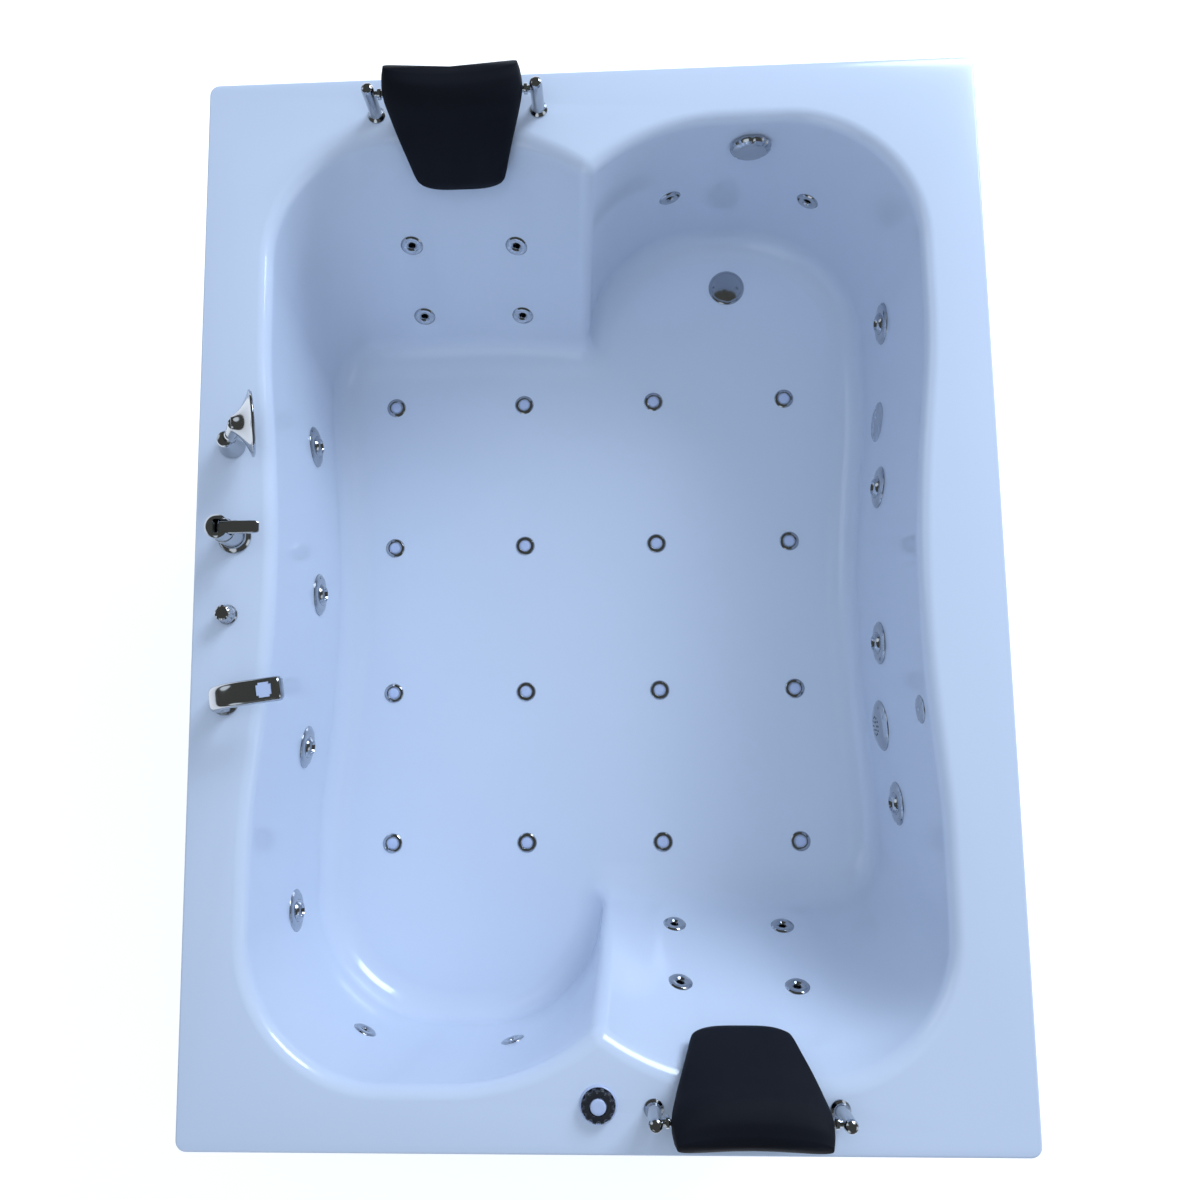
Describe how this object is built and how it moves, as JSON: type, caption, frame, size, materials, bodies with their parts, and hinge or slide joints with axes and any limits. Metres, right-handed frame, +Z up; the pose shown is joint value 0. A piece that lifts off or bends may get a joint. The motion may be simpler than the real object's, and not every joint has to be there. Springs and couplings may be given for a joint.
{
  "type": "jetted bathtub",
  "caption": "Two-person rectangular drop-in jetted bathtub with opposed seats and foot wells, deck taps, pivoting headrests, aimable jets, air jets, pump and blower on a steel frame.",
  "frame": {"origin": "on the floor, under the middle of the rim", "axes": "+X across the tub towards the side opposite the taps, +Y along the tub, +Z up"},
  "size_m": [1.36, 1.83, 0.7339],
  "materials": {
    "acrylic": "gloss vacuum-formed acrylic, pale blue white",
    "frame_steel": "grey paint on square steel tube",
    "zinc_steel": "zinc-plated steel",
    "plywood": "birch plywood, unfinished",
    "white_pipe": "white PVC pipe",
    "grey_plastic": "moulded grey plastic",
    "pale_plastic": "moulded plastic in the tub's colour",
    "black_plastic": "moulded black plastic",
    "chrome": "polished chrome plate",
    "brass": "machined brass",
    "copper_look": "drawn metal tube",
    "seal_rubber": "black rubber",
    "pad_foam": "black moulded polyurethane skin",
    "lens": "clear moulded lens",
    "motor_aluminium": "cast aluminium with cooling ribs"
  },
  "bodies": {
    "tub": {"tub_shell": "acrylic", "long_rails": "frame_steel", "cross_rails": "frame_steel", "uprights": "frame_steel", "levelling_feet": "zinc_steel", "foot_nuts": "zinc_steel", "floor_bearers": "plywood", "equipment_boards": "plywood", "jet_headers": "white_pipe", "air_pipes": "white_pipe", "suction_pipe": "white_pipe", "waste_body": "white_pipe", "overflow_pipe": "white_pipe", "side_jet_bezels": "chrome", "side_jet_bodies": "grey_plastic", "small_jet_bezels": "chrome", "small_jet_bodies": "grey_plastic", "seals": "seal_rubber", "air_jet_caps": "pale_plastic", "air_jet_bodies": "grey_plastic", "suction_cover": "chrome", "light_lens": "lens", "light_housing": "grey_plastic", "level_sensor": "chrome", "waste_flange": "chrome", "mixer_base": "chrome", "deck_valves": "brass", "supply_pipes": "copper_look", "spout": "chrome", "dial_bezel": "pale_plastic", "deck_nuts": "brass", "headrest_brackets": "chrome", "pump_wet_end": "black_plastic", "pump_motor": "motor_aluminium", "pump_fan_cover": "black_plastic", "terminal_box": "black_plastic", "blower_housing": "grey_plastic", "control_box": "grey_plastic"},
    "mixer_cap": {"mixer_cap": "chrome"},
    "mixer_lever": {"mixer_lever": "chrome"},
    "diverter_knob": {"diverter_knob": "chrome"},
    "dial_ring": {"dial_ring": "black_plastic"},
    "dial_button": {"dial_button": "pale_plastic"},
    "overflow_knob": {"overflow_knob": "chrome"},
    "waste_plug": {"waste_plug": "chrome"},
    "headrest_1": {"headrest_1": "pad_foam"},
    "headrest_2": {"headrest_2": "pad_foam"},
    "shower_holder": {"shower_holder": "chrome"},
    "hand_shower": {"hand_shower": "chrome"},
    "pump_rotor": {"pump_rotor": "zinc_steel"},
    "blower_wheel": {"blower_wheel": "zinc_steel"},
    "jet_nozzle_1": {"jet_nozzle_1": "chrome"},
    "jet_nozzle_2": {"jet_nozzle_2": "chrome"},
    "jet_nozzle_3": {"jet_nozzle_3": "chrome"},
    "jet_nozzle_4": {"jet_nozzle_4": "chrome"},
    "jet_nozzle_5": {"jet_nozzle_5": "chrome"},
    "jet_nozzle_6": {"jet_nozzle_6": "chrome"},
    "jet_nozzle_7": {"jet_nozzle_7": "chrome"},
    "jet_nozzle_8": {"jet_nozzle_8": "chrome"}
  },
  "joints": [
    {"name": "mixer_turn", "type": "hinge", "parent": "tub", "child": "mixer_cap", "pos_m": [-0.61, 0.082, 0.6], "axis": [0, 0, 1], "range_deg": [-45, 45]},
    {"name": "lever_lift", "type": "hinge", "parent": "mixer_cap", "child": "mixer_lever", "pos_m": [-0.607, 0.082, 0.6823], "axis": [0, -1, 0], "range_deg": [0, 25]},
    {"name": "diverter_turn", "type": "hinge", "parent": "tub", "child": "diverter_knob", "pos_m": [-0.618, -0.052, 0.6], "axis": [0, 0, 1], "range_deg": [-90, 90]},
    {"name": "dial_turn", "type": "hinge", "parent": "tub", "child": "dial_ring", "pos_m": [-0.003, -0.838, 0.6], "axis": [0, 0, 1], "range_deg": [0, 270]},
    {"name": "button_press", "type": "slide", "parent": "tub", "child": "dial_button", "axis": [0, 0, -1], "range_m": [0, 0.003], "stiffness_N_per_m": 300, "springref_m": -0.004},
    {"name": "overflow_turn", "type": "hinge", "parent": "tub", "child": "overflow_knob", "pos_m": [0.299, 0.81245, 0.512], "axis": [0, -1, 0.0063], "range_deg": [0, 90]},
    {"name": "plug_lift", "type": "slide", "parent": "tub", "child": "waste_plug", "axis": [0, 0, 1], "range_m": [0, 0.01]},
    {"name": "headrest_1_tilt", "type": "hinge", "parent": "tub", "child": "headrest_1", "pos_m": [-0.229, 0.844, 0.666], "axis": [-1, 0, 0], "range_deg": [0, 60]},
    {"name": "headrest_2_tilt", "type": "hinge", "parent": "tub", "child": "headrest_2", "pos_m": [0.229, -0.844, 0.666], "axis": [1, 0, 0], "range_deg": [0, 60]},
    {"name": "holder_turn", "type": "hinge", "parent": "tub", "child": "shower_holder", "pos_m": [-0.618, 0.243, 0.6], "axis": [0, 0, 1], "range_deg": [-60, 60]},
    {"name": "shower_lift", "type": "slide", "parent": "shower_holder", "child": "hand_shower", "axis": [0.4494, 0.1598, 0.8789], "range_m": [0, 0.12]},
    {"name": "pump_spin", "type": "hinge", "parent": "tub", "child": "pump_rotor", "pos_m": [0.42, -0.73506, 0.15], "axis": [1, 0, 0], "continuous": true},
    {"name": "blower_spin", "type": "hinge", "parent": "tub", "child": "blower_wheel", "pos_m": [-0.3, 0.742, 0.076], "axis": [0, 0, 1], "continuous": true},
    {"name": "nozzle_1_aim", "type": "hinge", "parent": "tub", "child": "jet_nozzle_1", "pos_m": [0.5714, 0.535, 0.32484], "axis": [0, 0, 1], "range_deg": [-15, 15]},
    {"name": "nozzle_2_aim", "type": "hinge", "parent": "tub", "child": "jet_nozzle_2", "pos_m": [0.55004, 0.2085, 0.32484], "axis": [0, 0, 1], "range_deg": [-15, 15]},
    {"name": "nozzle_3_aim", "type": "hinge", "parent": "tub", "child": "jet_nozzle_3", "pos_m": [0.53769, -0.08891, 0.32484], "axis": [0, 0, 1], "range_deg": [-15, 15]},
    {"name": "nozzle_4_aim", "type": "hinge", "parent": "tub", "child": "jet_nozzle_4", "pos_m": [0.55587, -0.38575, 0.32484], "axis": [0, 0, 1], "range_deg": [-15, 15]},
    {"name": "nozzle_5_aim", "type": "hinge", "parent": "tub", "child": "jet_nozzle_5", "pos_m": [-0.55072, 0.31361, 0.32484], "axis": [0, 0, 1], "range_deg": [-15, 15]},
    {"name": "nozzle_6_aim", "type": "hinge", "parent": "tub", "child": "jet_nozzle_6", "pos_m": [-0.53739, 0.02005, 0.32484], "axis": [0, 0, 1], "range_deg": [-15, 15]},
    {"name": "nozzle_7_aim", "type": "hinge", "parent": "tub", "child": "jet_nozzle_7", "pos_m": [-0.55697, -0.27144, 0.32484], "axis": [0, 0, 1], "range_deg": [-15, 15]},
    {"name": "nozzle_8_aim", "type": "hinge", "parent": "tub", "child": "jet_nozzle_8", "pos_m": [-0.57114, -0.57523, 0.32483], "axis": [0, 0, 1], "range_deg": [-15, 15]}
  ],
  "couplings": [
    {"joint": "plug_lift", "follows": "overflow_turn", "m_per_rad": 0.0063662}
  ]
}
